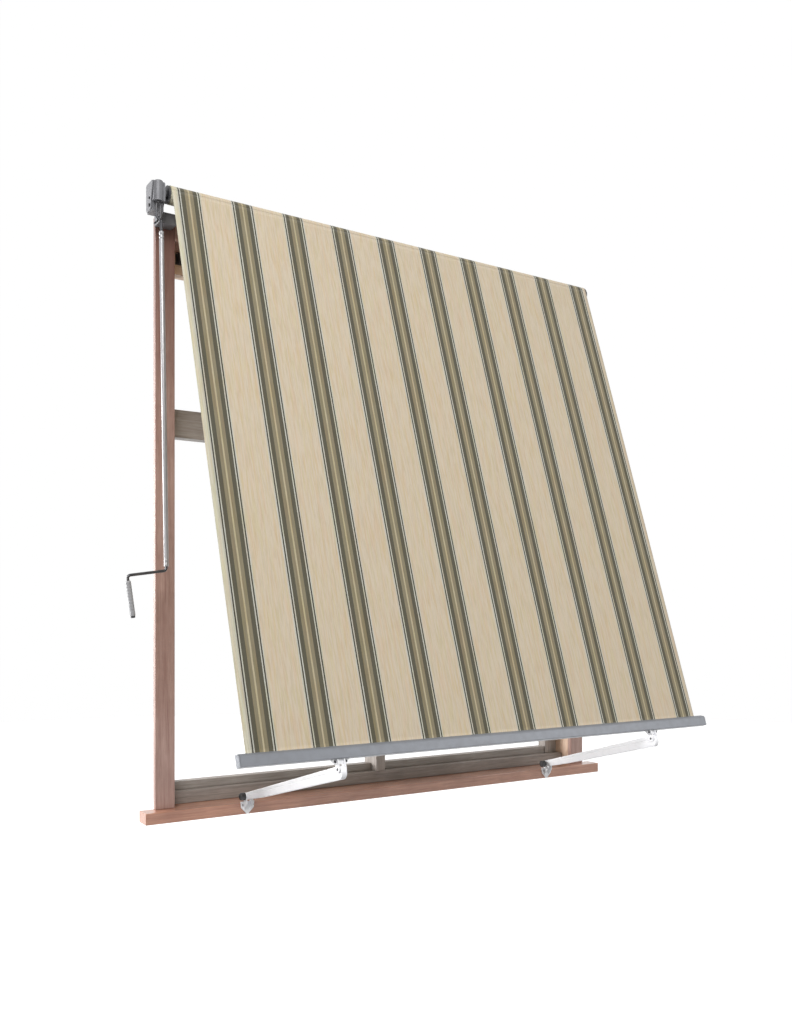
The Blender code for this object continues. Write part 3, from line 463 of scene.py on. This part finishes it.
# ---- Awning cloth
# Solution-dyed acrylic with stripes woven down the drop, its sides turned in and sewn. It winds off the
# front of the roller, hangs tight to the front bar and ends in a pocket round the hem rod.
roller_axis = joint_places["cloth_swing"]
cloth_low, cloth_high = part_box("awning_cloth")
cloth_left, cloth_right = cloth_low.x, cloth_high.x
cloth_thick = 0.0006
roll_radius = 0.0309                 # to the middle of the outermost turn
core_radius = 0.0266
pins_to_groove = 0.0635              # fork pins to the groove that holds the hem rod
hem_radius = 0.0033
side_hem, hem_step = 0.013, 0.0004
to_pins = Vector((0, fork_pins.y - roller_axis.y, fork_pins.z - roller_axis.z))
lean = atan2(-to_pins.y, -to_pins.z) - asin(roll_radius / to_pins.length)
down = Vector((0, -sin(lean), -cos(lean)))
out = Vector((0, -cos(lean), sin(lean)))
groove_down = to_pins.dot(down) - pins_to_groove


def cloth_line():
    """Points of the panel's middle as (out, down) from the roller axis, from the roll to round the rod."""
    flat_end = groove_down - hem_radius + 0.0001
    line = [(roll_radius, flat_end * i / 120) for i in range(121)]
    for i in range(1, 15):
        turn = radians(-90 + 330 * i / 14)
        line.append((roll_radius + hem_radius * cos(turn), groove_down + hem_radius * sin(turn)))
    return line


def woven_sheet(name, line):
    """A sheet along a line, with a small step where each side is turned in."""
    fall = 0.0006
    places = [cloth_left, cloth_left + side_hem, cloth_left + side_hem + fall]
    inner_width = cloth_right - cloth_left - 2 * (side_hem + fall)
    places += [places[-1] + inner_width * i / 56 for i in range(1, 57)]
    places += [cloth_right - side_hem, cloth_right]
    raised = [hem_step, hem_step] + [0.0] * 57 + [hem_step, hem_step]
    shape = bmesh.new()
    rows = []
    for across, along in line:
        row = []
        for x, step in zip(places, raised):
            point = roller_axis + (across + step) * out + along * down
            row.append(shape.verts.new((x, point.y, point.z)))
        rows.append(row)
    for a, b in zip(rows, rows[1:]):
        for i in range(len(places) - 1):
            shape.faces.new((a[i], a[i + 1], b[i + 1], b[i]))
    made = as_object(shape, name)
    made.data.shade_smooth()
    thickness = made.modifiers.new("thickness", "SOLIDIFY")
    thickness.thickness = cloth_thick
    thickness.offset = 0
    return made


canvas = woven_sheet("cloth_panel", cloth_line())
repeat = 0.1975                      # from one stripe to the next
first_stripe = cloth_left + 0.0165

# Stripe colours, and the width of each woven band in millimetres. The ground fills the rest of a repeat.
white, ink = (0.46, 0.455, 0.40), (0.032, 0.030, 0.020)
olive, khaki, straw = (0.072, 0.066, 0.042), (0.205, 0.175, 0.108), (0.40, 0.345, 0.225)
beige, cream = (0.52, 0.44, 0.33), (0.54, 0.51, 0.40)
bands = [(4.3, white), (4.3, ink), (4.3, white), (14.5, olive), (12.5, khaki), (5.0, straw), (12.5, khaki),
         (14.5, olive), (4.3, white), (4.3, ink), (4.3, white), (116, beige)]
stops, reached = [], 0.0
for width, colour in bands:
    stops.append((reached / 1000 / repeat, colour))
    reached += width

# The ground is slubbed with faint pink and yellow threads, and each side hem has one row of stitches.
acrylic = Finish("awning_cloth", Roughness=0.85, Sheen_Weight=0.12)
across = acrylic.place.part("X")
share = ((across - first_stripe + 2 * repeat) / repeat).run("FRACT")
striped = share.node("ValToRGB", {"stops": stops, "blend": "CONSTANT"}, {0: share})
margin = across.run("LESS_THAN", first_stripe)
edged = margin.tint(striped, cream)
slub_place = acrylic.place.stretched((1, 0.06, 0.06))
slub = slub_place.noise(260, 4, 0.65)
warm = slub_place.noise(120, 3)
cool = slub_place.noise(170, 3)
pinkish = warm.steps(0.45, 0.65).tint(edged, (1.0, 0.93, 0.88), "MULTIPLY")
yellowish = cool.steps(0.45, 0.65).tint(pinkish, (0.96, 0.96, 0.84), "MULTIPLY")
shaded = (slub.steps(0.42, 0.66) * 0.42).tint(yellowish, (0.74, 0.72, 0.68), "MULTIPLY")
seam_in, thread_half, stitch_pitch, warp_pitch = side_hem - 0.003, 0.0007, 0.0042, 0.0011
left_stitch = (across - (cloth_left + seam_in)).run("ABSOLUTE")
right_stitch = (across - (cloth_right - seam_in)).run("ABSOLUTE")
seam = left_stitch.run("LESS_THAN", thread_half) + right_stitch.run("LESS_THAN", thread_half)
dash = (acrylic.place.part("Z") * (2 * pi / stitch_pitch)).run("SINE").steps(-0.4, 0.1)
sewn = seam * dash
acrylic.lead("Base Color", (sewn * 0.55).tint(shaded, (0.42, 0.40, 0.33)))
ribs = (across * (2 * pi / warp_pitch)).run("SINE") * 0.5
acrylic.bump(slub * 0.9 + ribs * 0.25 + acrylic.place.noise(1500, 1) * 0.6 + sewn * 0.8, 0.0005, 0.55)
paint(acrylic, canvas)
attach(canvas, "cloth")
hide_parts("awning_cloth")
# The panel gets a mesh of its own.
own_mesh(canvas)

# The turns beneath end where the panel leaves the roll, and keep their shape when the arms swing.
wound_line = []
for i in range(241):
    turn = 2 * pi * 5 * (1 - i / 240)
    radius = core_radius + (roll_radius - core_radius) * i / 240
    wound_line.append((radius * cos(turn), -radius * sin(turn)))
turns = woven_sheet("cloth_turns", wound_line)
paint(acrylic, turns)
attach(turns, "cloth")
